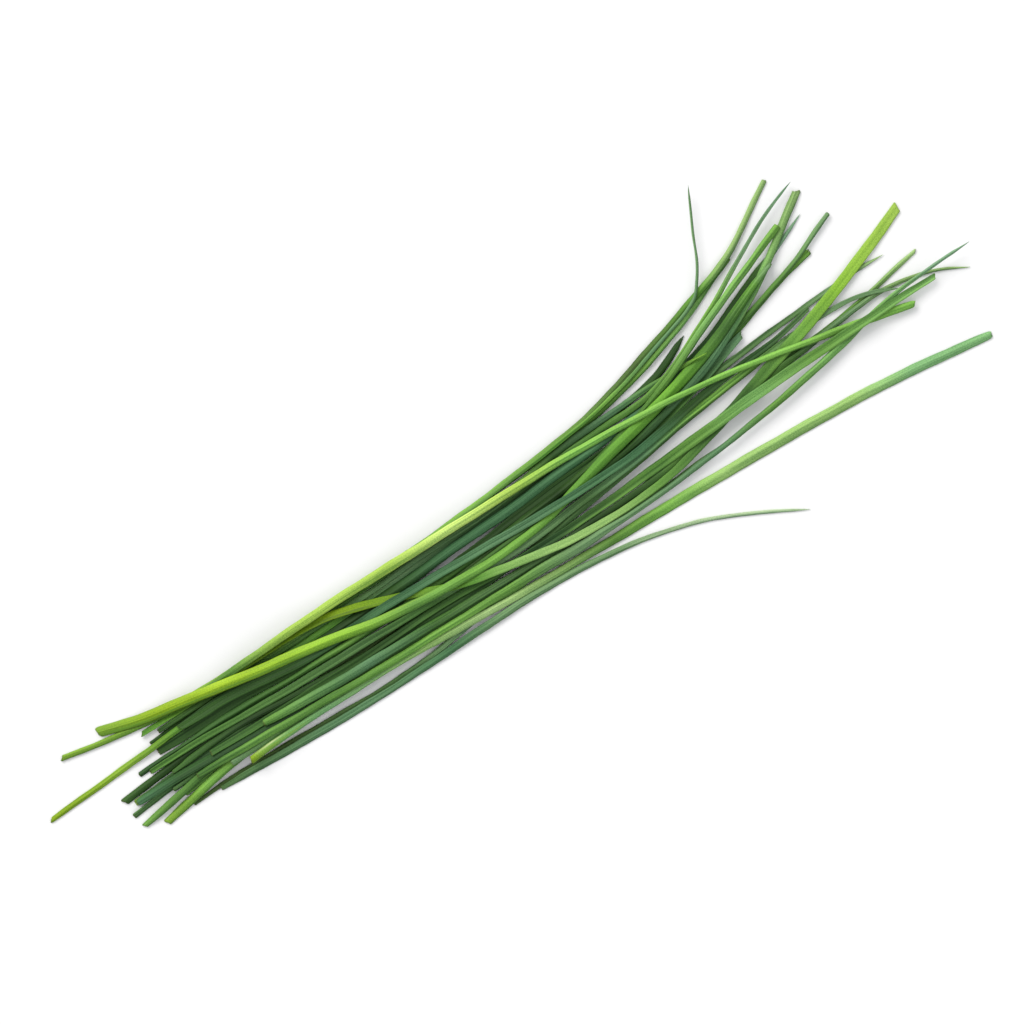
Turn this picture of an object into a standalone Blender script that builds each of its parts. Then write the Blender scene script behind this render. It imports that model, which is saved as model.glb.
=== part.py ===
"""Bunch of garlic chives lying on a table: every leaf blade is one solid, and settles on the blades under it.

Millimetres in the tables, metres in the scene. X runs from the cut bases to the tips, Z is up.
"""

import math

import bpy
import numpy as np

MM = 0.001              # metres in a millimetre
SECTION_STEP = 8.0      # most distance between two sections of a blade, along its steepest stretch
FEWEST_STRETCHES = 8    # in a short blade
THICKNESS = 0.8         # through the middle of a blade
TIP_THICKNESS = 0.62    # where a blade is narrow
NARROW, BROAD = 0.7, 1.6    # widths between which the thickness grows from the one to the other
SHOULDER = 0.6          # share of the width that is full thickness
CLEARANCE = 0.34        # air between a blade and what it lies on
SIDE_CLEARANCE = 0.3    # air beside a blade
WEIGHT = 5.0e-6         # weight per length over bending stiffness, 1/mm3
FLATNESS = 2.0e-4       # how strongly a blade keeps level across its width
TWIST_STIFFNESS = 0.6   # resistance to twist, against that to bending
CONTACT_STIFFNESS = 20.0
ANCHOR_STIFFNESS = 1e-8     # keeps a blade that touches nothing from having no answer
START_PER_LAYER = 0.03  # height of a blade before it settles, for each layer up
MOST_TURNS = 45         # times that the resting places are worked out anew
LONGEST_MOVE = 2.0      # of one turn, against the move that it asks for
HALVINGS = 30           # of the move, to find where it stops going downhill
STILL = 1e-4            # a turn that moves less than this is the last
TABLE_SNAP = 0.03       # a section this near the table lies flat on it
PLACES_ALONG = 5        # contact places in a stretch between two sections
PLACES_ACROSS = np.array([-1.0, -0.6, -0.3, 0.0, 0.3, 0.6, 1.0])

# slot: base colour (linear), roughness
GREENS = {
    "deep_green": ((0.035, 0.105, 0.030), 0.42),
    "mid_green": ((0.095, 0.270, 0.060), 0.45),
    "yellow_green": ((0.270, 0.430, 0.050), 0.45),
    "blue_green": ((0.065, 0.175, 0.105), 0.48),
    "pale_green": ((0.190, 0.400, 0.125), 0.48),
}

# name, slot, centre line and width (x, y, width), layer from the table up (x, layer)
BLADES = [
    ("leaf_01_long_top", "yellow_green",
     [(-140.1, 14.7, 3.0), (-130, 11.5, 3.3), (-110, 7.3, 3.3), (-90, 3.1, 3.3), (-70, -0.6, 3.2),
      (-50, -5.1, 2.9), (-30, -7.7, 2.6), (-10, -8.8, 2.4), (0, -8.4, 2.3), (10, -7.2, 2.3),
      (20, -4.9, 2.8), (35, -1.7, 3.3), (50, 1.1, 3.4), (65, 4.5, 3.5), (75, 7.2, 3.4),
      (85, 10.6, 3.0), (95, 14.6, 2.5), (101, 16.9, 1.8), (105.6, 18.2, 0.9)],
     [(-140, 80), (0, 80), (10, 60), (110, 60)]),
    ("leaf_02_crossing", "pale_green",
     [(-153.3, 14.2, 1.5), (-140, 11.3, 1.7), (-120, 8.2, 2.0), (-104, 7.2, 2.1), (-90, 7.4, 2.2),
      (-60, 7.5, 2.7), (-40, 6.9, 3.0), (-20, 6.2, 2.6), (0, 5.5, 2.5), (20, 4.7, 2.3),
      (40, 3.1, 2.0), (60, 0.9, 1.7), (80, -2.4, 1.7), (100, -6.9, 1.8), (115, -10.5, 2.2),
      (125, -13.0, 2.4), (135.0, -15.7, 2.0)],
     [(-153, 70), (-90, 72), (-60, 90), (100, 90), (108, 84), (135, 84)]),
    ("leaf_03_broad_bright", "yellow_green",
     [(-129.3, 6.8, 1.4), (-113, 6.5, 1.9), (-90, 6.6, 2.0), (-73, 6.1, 2.3), (-64, 5.0, 2.4),
      (-55, 2.4, 2.5), (-45, -1.1, 2.4), (-35, -5.3, 2.4), (-25, -9.2, 2.5), (-10, -12.8, 2.4),
      (0, -15.0, 2.3), (10, -16.8, 2.3), (20, -17.8, 2.1), (30, -18.2, 2.0), (40, -17.9, 2.1),
      (50, -16.7, 2.4), (60, -14.5, 2.6), (70, -12.1, 2.9), (80, -9.3, 3.3), (90, -6.7, 3.6),
      (100, -4.2, 3.6), (110, -1.4, 3.4), (120, 1.8, 3.3), (130, 5.1, 3.3), (140, 8.7, 3.2),
      (147.0, 11.3, 2.8)],
     [(-129, 45), (-60, 50), (-25, 62), (50, 70), (60, 68), (147, 72)]),
    ("leaf_04_blue", "blue_green",
     [(-118.8, 2.1, 1.8), (-112, 2.0, 2.9), (-100, 1.6, 3.2), (-90, 0.1, 3.2), (-80, -1.4, 3.0),
      (-70, -2.1, 2.8), (-50, -2.2, 2.4), (-30, -3.1, 2.4), (-10, -4.4, 2.4), (10, -5.7, 2.4),
      (20, -6.1, 2.3), (30, -6.3, 2.2), (40, -6.1, 2.2), (50, -5.2, 2.3), (60, -3.8, 2.4),
      (70, -2.7, 2.3), (80, -2.0, 2.1), (90, -1.6, 1.8), (96, -1.1, 1.6), (102, -0.2, 1.4),
      (107.9, 0.9, 1.2)],
     [(-119, 68), (110, 68)]),
    ("leaf_05_dark_left", "deep_green",
     [(-128.2, -0.2, 2.3), (-120, -0.6, 2.8), (-110, -0.8, 2.8), (-95, -1.2, 2.6), (-80, -2.8, 2.3),
      (-60, -3.5, 2.2), (-40, -3.7, 2.0), (-25, -3.2, 1.9), (-10, -2.4, 2.0), (0, -1.9, 2.4),
      (8, -1.4, 2.9), (15, -1.1, 3.0), (22, -0.9, 3.0), (30, -0.7, 2.5), (38, -0.5, 2.1),
      (45, -0.4, 1.9), (60, -0.2, 1.9), (75, 0.5, 2.0),
      (90, 1.3, 1.7), (100, 1.7, 1.5), (115, 2.1, 1.4), (126, 2.3, 1.1), (135.5, 1.8, 0.6)],
     [(-128, 33), (135, 33)]),
    ("leaf_06_thin_left", "yellow_green",
     [(-166.4, 0.6, 1.5), (-150, 1.0, 1.8), (-130, 1.6, 1.9), (-118, 2.0, 1.8), (-100, 1.3, 2.0),
      (-80, 0.2, 2.3), (-60, -0.1, 2.8), (-48, 0.1, 2.9), (-38, 0.3, 2.9), (-30, 0.6, 2.6),
      (-20, 1.0, 2.5), (0, 1.1, 2.5), (10, 1.5, 2.7), (20, 2.0, 2.9), (30, 2.1, 2.6),
      (42, 2.8, 2.5), (52, 4.2, 2.5),
      (62, 6.0, 2.6), (72, 8.0, 2.7), (80, 10.2, 2.8), (90, 14.0, 2.9), (100, 18.0, 2.4),
      (108, 20.6, 1.6), (115, 23.2, 1.0), (121.6, 25.8, 0.6)],
     [(-166, 42), (122, 42)]),
    ("leaf_07_kinked_upper", "mid_green",
     [(-116, 8.4, 1.4), (-100, 7.6, 1.8), (-80, 7.6, 1.9), (-50, 7.4, 2.0), (-25, 7.2, 1.9),
      (-10, 7.8, 1.8), (0, 8.2, 1.8), (10, 8.9, 1.8), (20, 9.5, 1.9), (30, 10.4, 1.9),
      (40, 12.0, 2.0), (50, 14.4, 2.1), (60, 17.0, 2.1), (70, 19.6, 2.1), (80, 22.4, 2.1),
      (90, 25.3, 2.1), (96, 27.3, 1.9), (101, 30.0, 1.7), (110, 35.3, 1.7), (118.4, 40.2, 1.4)],
     [(-116, 54), (120, 54)]),
    ("leaf_08_raised_tip", "blue_green",
     [(-92, 6.8, 1.0), (-60, 6.9, 1.1), (-20, 7.0, 1.1), (0, 7.9, 1.1), (20, 9.0, 1.1),
      (40, 11.2, 1.1), (50, 13.2, 1.1), (60, 15.8, 1.1), (70, 18.6, 1.0), (77, 20.6, 1.0),
      (81, 22.4, 0.95), (83.7, 25.4, 0.9), (86.2, 28.6, 0.85), (88.4, 32.2, 0.8), (91.5, 38.7, 0.75),
      (95, 45.3, 0.7), (98.3, 51.5, 0.6)],
     [(-92, 56), (99, 56)]),
    ("leaf_09_upper_pair", "mid_green",
     [(-104, 5.9, 1.3), (-80, 6.3, 1.4), (-60, 5.9, 1.5), (-40, 6.0, 1.5), (-20, 6.8, 1.5), (0, 8.1, 1.4),
      (20, 9.1, 1.5), (30, 9.8, 1.5), (40, 10.8, 1.5), (50, 12.5, 1.5), (60, 14.6, 1.5),
      (70, 17.2, 1.6), (80, 20.5, 1.6), (90, 24.6, 1.5), (96.4, 26.5, 0.9)],
     [(-104, 38), (97, 42)]),
    ("leaf_10_short_point", "yellow_green",
     [(-98, 6.9, 1.3), (-60, 6.9, 1.4), (-20, 6.3, 1.4), (0, 5.8, 1.4), (12, 6.5, 1.5),
      (22, 7.3, 1.5), (40, 7.7, 1.5), (55, 7.9, 1.4), (65, 7.7, 1.1), (74.9, 6.9, 0.6)],
     [(-98, 43), (0, 51), (60, 64), (75, 64)]),
    ("leaf_11_fan_high", "mid_green",
     [(-124.7, 4.8, 1.4), (-110, 4.7, 1.7), (-90, 4.6, 1.8), (-70, 4.4, 1.9), (-50, 3.9, 1.7),
      (-30, 4.2, 1.7), (-10, 4.1, 1.7), (0, 4.4, 1.7), (10, 5.0, 1.6), (20, 5.7, 1.6),
      (40, 5.7, 1.6), (53, 6.0, 1.7), (60, 7.5, 1.8), (70, 11.2, 1.9), (80, 15.6, 1.7),
      (90, 20.5, 1.4), (100, 25.6, 1.2), (110, 30.3, 1.0), (118, 33.4, 0.8), (124.5, 35.4, 0.6)],
     [(-125, 30), (-34, 34), (30, 50), (55, 66), (125, 66)]),
    ("leaf_12_dark_short", "deep_green",
     [(-128.8, 3.2, 0.9), (-110, 3.3, 1.4), (-90, 2.3, 1.9), (-70, 2.2, 2.4), (-58, 2.3, 2.3),
      (-48, 2.6, 2.0), (-30, 2.9, 1.8), (-10, 3.1, 1.6), (0, 3.3, 1.9), (12, 4.0, 2.3),
      (22, 5.3, 2.1), (30, 6.3, 1.8), (40, 7.2, 1.8), (50, 8.1, 1.9), (60, 10.1, 1.9),
      (66, 12.4, 1.5), (72.3, 15.2, 0.7)],
     [(-129, 22), (10, 32), (72, 40)]),
    ("leaf_13_fan_middle", "mid_green",
     [(-136.8, -2.9, 1.5), (-120, -3.0, 1.5), (-112, -3.2, 1.9), (-104, -3.5, 2.3), (-96, -4.0, 1.9),
      (-80, -4.7, 1.7), (-60, -5.2, 1.9), (-45, -5.4, 2.0), (-30, -5.4, 2.0), (-20, -5.1, 2.0),
      (-10, -4.6, 2.0), (0, -4.0, 2.0), (10, -3.5, 2.2), (18, -3.0, 2.2), (25, -2.1, 1.9),
      (30, -1.3, 1.6), (40, 0.9, 1.7), (50, 3.4, 1.8), (60, 6.4, 1.9), (70, 10.4, 2.0), (80, 14.4, 2.1),
      (90, 18.1, 2.1), (100, 21.6, 2.1), (108, 24.6, 2.0), (114.0, 26.6, 1.7)],
     [(-137, 56), (-60, 50), (35, 44), (55, 70), (114, 76)]),
    ("leaf_14_blue_tip", "blue_green",
     [(-145.0, -7.0, 1.8), (-130, -6.1, 1.9), (-110, -6.1, 1.9), (-90, -6.9, 1.9), (-70, -7.6, 1.9),
      (-50, -8.1, 1.9), (-30, -8.0, 1.9), (-10, -7.5, 2.0), (10, -6.5, 2.0), (30, -4.8, 2.1),
      (40, -3.7, 2.2), (50, -2.0, 2.2), (60, 0.2, 2.2), (70, 2.6, 2.3), (80, 6.3, 2.3),
      (90, 10.9, 2.3), (100, 16.0, 2.3), (108, 21.1, 2.3), (116, 26.5, 2.2), (124.6, 32.1, 1.9)],
     [(-145, 46), (124, 46)]),
    ("leaf_15_dark_middle", "mid_green",
     [(-133.5, -4.1, 1.5), (-120, -4.3, 1.8), (-110, -4.9, 1.8), (-100, -5.7, 1.8), (-90, -6.4, 2.1),
      (-80, -7.0, 2.2), (-60, -7.8, 2.3), (-40, -8.9, 1.9), (-20, -9.6, 1.9), (0, -10.0, 2.2),
      (20, -9.0, 2.3), (40, -7.9, 2.0), (60, -5.6, 1.9), (75, -4.6, 1.8), (90, -3.4, 1.7),
      (100, -3.0, 1.5), (112, -3.3, 1.4), (120, -4.0, 1.3), (127, -6.0, 1.2), (133.8, -9.4, 0.7)],
     [(-133, 58), (134, 56)]),
    ("leaf_16_torn_end", "blue_green",
     [(-142.4, -9.3, 1.6), (-125, -8.9, 1.6), (-100, -9.1, 1.6), (-75, -9.6, 1.6), (-50, -9.0, 1.8),
      (-30, -7.8, 2.1), (-20, -7.2, 2.3), (-10, -6.9, 2.4), (0, -6.7, 2.2), (12, -6.5, 2.2),
      (20, -6.3, 2.3), (30, -5.8, 2.1), (40, -4.7, 2.1),
      (50, -2.9, 2.2), (60, -0.9, 2.4), (70, 1.1, 2.5), (78, 3.4, 2.4), (86.5, 5.6, 1.8)],
     [(-142, 34), (86, 46)]),
    ("leaf_17_lower_fan", "mid_green",
     [(-145.0, -12.3, 1.5), (-131, -11.4, 1.7), (-110, -11.7, 1.7), (-80, -11.4, 1.7), (-50, -10.4, 1.7),
      (-20, -9.0, 1.7), (10, -6.5, 1.7), (30, -4.0, 1.7), (50, -0.4, 1.8), (70, 3.9, 1.9),
      (90, 8.2, 1.9), (100, 11.2, 1.9), (110, 13.7, 1.9), (117.4, 15.3, 1.8)],
     [(-145, 20), (117, 36)]),
    ("leaf_18_outer_fan", "mid_green",
     [(-130.7, -12.2, 1.3), (-110, -12.3, 1.5), (-85, -12.2, 1.5), (-55, -11.1, 1.5), (-25, -9.0, 1.5),
      (0, -6.6, 1.6), (20, -4.3, 1.7), (40, -1.2, 1.8), (60, 2.4, 1.9), (75, 5.6, 2.0),
      (90, 9.4, 2.0), (101, 12.4, 1.9), (112, 15.3, 1.7), (122.7, 19.3, 1.4), (128.7, 21.5, 1.2)],
     [(-131, 24), (60, 38), (129, 44)]),
    ("leaf_19_low_long", "mid_green",
     [(-122.3, -12.8, 1.5), (-110, -13.5, 2.1), (-100, -14.1, 2.1), (-90, -14.9, 2.2), (-80, -15.5, 2.2),
      (-60, -16.8, 2.2), (-40, -17.6, 2.1), (-20, -18.4, 2.2), (0, -19.1, 2.6), (10, -19.7, 2.6),
      (20, -20.2, 2.0), (30, -20.5, 1.5), (40, -20.4, 1.5), (50, -19.9, 1.6), (70, -18.6, 1.7),
      (90, -16.6, 2.1), (100, -15.2, 2.1), (110, -13.6, 2.1), (120, -11.6, 1.7), (130, -10.1, 1.3),
      (143, -9.4, 1.0), (158.7, -9.4, 0.7)],
     [(-122, 62), (159, 62)]),
    ("leaf_20_pale_outer", "pale_green",
     [(-106.3, -18.0, 2.1), (-98, -17.6, 2.1), (-90, -17.5, 2.0), (-80, -17.6, 1.8), (-70, -18.0, 1.7),
      (-60, -18.2, 1.6), (-50, -18.7, 1.7), (-40, -19.5, 2.0), (-30, -20.3, 2.2), (-10, -21.9, 2.3),
      (10, -23.2, 2.4), (25, -24.1, 2.9), (40, -24.8, 3.2), (55, -25.7, 3.3), (70, -26.7, 3.3),
      (90, -28.2, 3.2), (110, -30.1, 3.1), (130, -32.9, 3.0), (140, -34.6, 2.8), (149.0, -36.2, 2.2)],
     [(-106, 58), (149, 58)]),
    ("leaf_21_broad_low", "pale_green",
     [(-115.2, -9.5, 1.6), (-98, -10.4, 2.0), (-80, -10.8, 2.0), (-60, -11.4, 2.0), (-40, -11.2, 2.0),
      (-30, -11.4, 2.0), (-20, -12.1, 2.2), (-10, -12.9, 2.3), (0, -13.4, 2.3), (15, -13.7, 2.3),
      (30, -13.5, 2.6), (45, -13.0, 3.0), (60, -12.5, 3.1), (80, -11.8, 3.2), (100, -11.6, 3.0),
      (110, -11.7, 2.8), (120, -11.7, 2.5), (132, -11.8, 2.1), (144.6, -12.2, 1.7)],
     [(-115, 54), (20, 55), (55, 80), (100, 80), (110, 94), (144, 94)]),
    ("leaf_22_thin_hook", "blue_green",
     [(-97.0, -10.9, 1.9), (-90, -11.6, 2.5), (-80, -12.5, 2.7), (-65, -13.5, 2.7), (-50, -14.1, 2.4),
      (-35, -14.8, 2.2), (-20, -15.5, 2.0), (0, -16.2, 1.9), (20, -15.9, 1.8), (40, -15.8, 1.8),
      (50, -15.0, 1.8), (60, -13.5, 1.8), (70, -11.9, 1.8), (80, -10.4, 1.8), (90, -9.3, 1.8),
      (100, -8.7, 1.7), (110, -7.8, 1.6), (120, -7.0, 1.5), (129, -7.0, 1.3), (138, -8.4, 1.1),
      (145, -10.5, 0.8), (155.0, -15.9, 0.6)],
     [(-97, 60), (-50, 58), (0, 52), (155, 52)]),
    ("leaf_23_grey_low", "blue_green",
     [(-141.9, -9.6, 1.9), (-133, -9.8, 2.5), (-120, -10.4, 2.5), (-110, -11.3, 2.4), (-98, -12.3, 2.3),
      (-80, -13.8, 2.2), (-60, -14.9, 2.2), (-40, -15.8, 2.1), (-20, -16.7, 2.0), (0, -17.3, 2.0),
      (15, -17.2, 2.0), (30, -16.4, 2.0), (45, -15.2, 2.0), (60, -13.0, 2.0), (75, -10.4, 2.0),
      (90, -8.5, 1.9), (100, -7.8, 1.8), (110, -7.3, 1.7), (120, -6.3, 1.5), (130, -4.8, 1.4),
      (136, -3.8, 1.4), (141, -3.1, 1.3), (144.2, -2.6, 1.0)],
     [(-142, 50), (144, 50)]),
    ("leaf_24_olive_under", "deep_green",
     [(-128.0, -7.8, 1.0), (-115, -7.3, 1.4), (-103, -7.3, 1.6), (-90, -8.6, 1.8), (-75, -9.9, 1.8),
      (-60, -11.2, 1.8), (-45, -12.2, 1.8), (-30, -13.0, 1.9), (-20, -13.3, 1.9), (-8, -13.0, 1.7),
      (5, -12.1, 1.7), (20, -10.4, 1.7), (40, -8.3, 1.7), (60, -5.9, 1.6), (78, -4.9, 1.3),
      (88.0, -4.6, 0.8)],
     [(-128, 48), (88, 48)]),
    ("leaf_25_olive_left", "deep_green",
     [(-144.0, -16.4, 1.6), (-137, -15.6, 2.1), (-130, -14.6, 2.3), (-122, -13.4, 2.1), (-105, -13.1, 1.9),
      (-85, -14.2, 1.8),
      (-60, -15.6, 1.8), (-30, -17.0, 1.8), (-10, -18.0, 1.7), (10, -18.9, 1.5), (25, -19.6, 1.2),
      (42, -19.4, 1.1), (62.0, -18.4, 0.6)],
     [(-144, 40), (0, 44), (62, 49)]),
    ("leaf_26_dark_low", "deep_green",
     [(-128.4, -15.4, 1.3), (-115, -14.6, 1.5), (-95, -14.9, 1.5), (-75, -16.0, 1.5), (-50, -17.4, 1.5),
      (-25, -18.8, 1.4), (-5, -19.7, 1.2), (15.0, -20.4, 0.7)],
     [(-128, 36), (15, 40)]),
    ("leaf_27_bright_base", "yellow_green",
     [(-137.8, -19.4, 2.1), (-130, -18.1, 2.6), (-120, -16.6, 2.6), (-112, -15.5, 2.6), (-100, -14.9, 2.4),
      (-80, -15.9, 2.2), (-60, -17.0, 2.1), (-40, -18.2, 1.9), (-22, -19.5, 1.6), (-8.0, -20.3, 0.9)],
     [(-138, 52), (-8, 48)]),
    ("leaf_28_dull_under", "blue_green",
     [(-111.6, -15.5, 1.6), (-100, -15.8, 1.5), (-85, -16.2, 1.5), (-65, -17.2, 1.5), (-45, -18.3, 1.4),
      (-28.0, -19.3, 0.8)],
     [(-112, 56), (-28, 54)]),
    ("leaf_29_thin_edge", "deep_green",
     [(-128.0, -19.4, 0.8), (-118, -19.1, 1.3), (-105, -19.6, 1.4), (-90, -20.5, 1.5), (-75, -21.6, 1.6),
      (-60, -22.4, 1.4), (-50, -22.3, 1.4), (-40, -21.9, 1.3), (-32, -21.0, 1.3), (-20, -19.9, 1.3),
      (0, -18.2, 1.3), (20, -17.2, 1.3), (38.0, -16.8, 0.8)],
     [(-128, 30), (-60, 34), (38, 34)]),
    ("leaf_30_curved_outer", "mid_green",
     [(-118.6, -20.0, 1.2), (-110, -20.6, 2.0), (-100, -21.4, 2.2), (-85, -22.5, 2.3), (-70, -23.4, 2.1),
      (-60, -23.8, 1.9), (-50, -24.0, 2.0), (-30, -24.0, 2.3), (-10, -24.3, 2.2), (0, -24.9, 2.0),
      (10, -25.9, 1.9), (20, -27.3, 1.7), (30, -29.3, 1.4), (40, -32.1, 1.2), (50, -35.8, 1.1),
      (60, -40.9, 1.0), (70, -46.5, 0.8), (74.7, -49.4, 0.6)],
     [(-119, 40), (75, 40)]),
]


def smooth(x, points_x, points_y):
    """Curve through the points: cubic stretches, each point's slope the mean of those on both sides of it."""
    points_x, points_y = np.array(points_x, float), np.array(points_y, float)
    slope = np.gradient(points_y, points_x)
    k = np.clip(np.searchsorted(points_x, x) - 1, 0, len(points_x) - 2)
    span = points_x[k + 1] - points_x[k]
    t = (x - points_x[k]) / span
    return ((2 * t**3 - 3 * t**2 + 1) * points_y[k] + (t**3 - 2 * t**2 + t) * span * slope[k]
            + (3 * t**2 - 2 * t**3) * points_y[k + 1] + (t**3 - t**2) * span * slope[k + 1])


class Blade:
    """A leaf blade as sections across the bunch: middle, half width, and the height of its two edges."""

    def __init__(self, name, slot, line, layers):
        self.name, self.slot, self.layers = name, slot, np.array(layers, float)
        px, py, widths = np.array(line, float).T
        steepest = np.hypot(1.0, np.diff(py) / np.diff(px)).max()
        count = max(FEWEST_STRETCHES, math.ceil((px[-1] - px[0]) * steepest / SECTION_STEP)) + 1
        self.x = np.linspace(px[0], px[-1], count)
        self.y = smooth(self.x, px, py)
        width = np.interp(self.x, px, widths)
        steep = np.hypot(1.0, np.gradient(self.y, self.x))
        self.half = 0.5 * width * steep
        self.thick = 0.5 * np.interp(width, [NARROW, BROAD], [TIP_THICKNESS, THICKNESS])

    def layer(self, x):
        return np.interp(x, self.layers[:, 0], self.layers[:, 1])

    def rounding(self, across):
        """Share of the thickness at a place across: full between the shoulders, none at an edge."""
        return np.clip((1.0 - np.abs(across)) / (1.0 - SHOULDER), 0.0, 1.0)


def places_on(blade):
    """Places all over a blade: stretch, share along it, share across, x, y and half the thickness there."""
    stretch, along, across = (grid.ravel() for grid in np.meshgrid(
        np.arange(len(blade.x) - 1), np.linspace(0, 1, PLACES_ALONG), PLACES_ACROSS, indexing="ij"))
    x, y, half, thick = (values[stretch] * (1 - along) + values[stretch + 1] * along
                         for values in (blade.x, blade.y, blade.half, blade.thick))
    return stretch, along, across, x, y + across * half, blade.rounding(across) * thick


def height_at(blade, stretch, along, across):
    """Which edge heights, in the list of all of them, make up the height at a place, and their shares."""
    corner = blade.offset + stretch
    index = np.stack([corner, corner + 1, corner + len(blade.x), corner + len(blade.x) + 1], axis=1)
    low, high = (1 - across) / 2, (1 + across) / 2
    return index, np.stack([low * (1 - along), low * along, high * (1 - along), high * along], axis=1)


def upper_first(blade, other, x):
    """+1 where the blade is over the other, -1 where under: one answer for each length of overlap."""
    order = np.argsort(x)
    run = np.concatenate([[0], np.cumsum(np.diff(x[order]) > SECTION_STEP)])
    lead = blade.layer(x[order]) - other.layer(x[order])
    mean_lead = np.bincount(run, lead) / np.bincount(run)
    sign = np.empty(len(x))
    sign[order] = np.where(mean_lead[run] > 0, 1.0, -1.0)
    return sign


def contact_rules(blades):
    """Every rule that holds the pile apart, as index, share and least height: over the table and over a blade."""
    indices, shares, least = [], [], []
    for number, blade in enumerate(blades):
        stretch, along, across, x, y, drop = places_on(blade)
        index, share = height_at(blade, stretch, along, across)
        indices.append(np.hstack([index, index]))
        shares.append(np.hstack([share, 0 * share]))
        least.append(drop)
        for other in blades[number + 1:]:
            reach = np.interp(x, other.x, other.half)
            side = (y - np.interp(x, other.x, other.y)) / reach
            inside = (x > other.x[0] - SIDE_CLEARANCE) & (x < other.x[-1] + SIDE_CLEARANCE)
            near = np.nonzero(inside & (np.abs(side) < 1 + SIDE_CLEARANCE / reach))[0]
            if not len(near):
                continue
            place = np.clip(side[near], -1, 1)
            position = (x[near] - other.x[0]) / (other.x[1] - other.x[0])
            cell = np.clip(position.astype(int), 0, len(other.x) - 2)
            below, below_share = height_at(other, cell, np.clip(position - cell, 0, 1), place)
            top = other.rounding(place) * np.interp(x[near], other.x, other.thick)
            sign = upper_first(blade, other, x[near])[:, None]
            indices.append(np.hstack([index[near], below]))
            shares.append(np.hstack([share[near] * sign, -below_share * sign]))
            least.append(drop[near] + top + CLEARANCE)
    return np.vstack(indices), np.vstack(shares), np.concatenate(least)


def stiffness(blade):
    """Resistance of an elastic strip with a left and a right edge to bending, to twist and to tilt."""
    count, step, width = len(blade.x), blade.x[1] - blade.x[0], 2 * blade.half.mean()
    second = np.diff(np.eye(count), 2, axis=0)
    first = np.diff(np.eye(count), axis=0)
    bend = second.T @ second / step**3
    apart = (TWIST_STIFFNESS * (first.T @ first) / step + FLATNESS * step * np.eye(count)) / width**2
    return 0.5 * np.block([[bend + 2 * apart, -2 * apart], [-2 * apart, bend + 2 * apart]])


def settle(blades):
    """Lets all blades sag under their weight at once, each held up by the table and by what it lies on."""
    size = 0
    for blade in blades:
        blade.offset = size
        size += 2 * len(blade.x)
    stiff, load = ANCHOR_STIFFNESS * np.eye(size), np.zeros(size)
    for blade in blades:
        own = slice(blade.offset, blade.offset + 2 * len(blade.x))
        stiff[own, own] += stiffness(blade)
        load[own] = -0.5 * WEIGHT * (blade.x[1] - blade.x[0])
    index, share, least = contact_rules(blades)
    heights = np.concatenate([np.tile(START_PER_LAYER * blade.layer(blade.x), 2) for blade in blades])
    gap = (heights[index] * share).sum(axis=1) - least
    for turn in range(MOST_TURNS):
        touching = gap < 0
        i, s = index[touching], share[touching]
        cells = (i[:, :, None] * size + i[:, None, :]).ravel()
        push = CONTACT_STIFFNESS * (s[:, :, None] * s[:, None, :]).ravel()
        system = stiff + np.bincount(cells, push, size * size).reshape(size, size)
        force = (load - stiff @ heights
                 - np.bincount(i.ravel(), (s * gap[touching][:, None]).ravel() * CONTACT_STIFFNESS, size))
        move = np.linalg.solve(system, force)
        opening = (move[index] * share).sum(axis=1)
        slope, curve = load @ move - heights @ stiff @ move, move @ stiff @ move
        near, far = 0.0, LONGEST_MOVE
        for _ in range(HALVINGS):
            trial = (near + far) / 2
            pressed = np.minimum(gap + trial * opening, 0)
            downhill = slope - trial * curve - CONTACT_STIFFNESS * (pressed * opening).sum() > 0
            near, far = (trial, far) if downhill else (near, trial)
        heights += near * move
        gap += near * opening
        if np.abs(near * move).max() < STILL:
            break
    print("turns", turn + 1, "last move", np.abs(near * move).max(), "deepest", gap.min())
    for blade in blades:
        edges = heights[blade.offset:blade.offset + 2 * len(blade.x)].reshape(2, -1)
        on_table = (np.abs(edges - blade.thick) < TABLE_SNAP).all(axis=0)
        blade.edges = np.where(on_table, blade.thick, edges)


def shoulder_heights(blade):
    """Heights of the middle surface under the two shoulders."""
    low, high = blade.edges
    return [low * (1 - across) / 2 + high * (1 + across) / 2 for across in (-SHOULDER, SHOULDER)]


def add_blade(blade, middle, material):
    """Closed solid with a six-sided section, both faces split the same way."""
    corners = [(-1, 0), (-SHOULDER, 1), (SHOULDER, 1), (1, 0), (SHOULDER, -1), (-SHOULDER, -1)]
    points = []
    for k in range(len(blade.x)):
        for across, up in corners:
            height = blade.edges[0, k] * (1 - across) / 2 + blade.edges[1, k] * (1 + across) / 2
            points.append((blade.x[k], blade.y[k] + across * blade.half[k], height + up * blade.thick[k]))
    faces = []
    for k in range(len(blade.x) - 1):
        a, b = 6 * k, 6 * k + 6
        for left, right, top in ((0, 1, 1), (1, 2, 1), (2, 3, 1), (0, 5, 0), (5, 4, 0), (4, 3, 0)):
            pair = [(a + left, b + left, b + right), (a + left, b + right, a + right)]
            faces += pair if top else [face[::-1] for face in pair]
    last = 6 * (len(blade.x) - 1)
    for first, turn in ((0, 1), (last, -1)):
        faces += [(first, first + k, first + k + 1)[::turn] for k in range(1, 5)]
    mesh = bpy.data.meshes.new(blade.name)
    mesh.from_pydata((np.array(points) - middle) * MM, [], faces)
    mesh.materials.append(material)
    obj = bpy.data.objects.new(blade.name, mesh)
    bpy.context.collection.objects.link(obj)
    return obj


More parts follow.
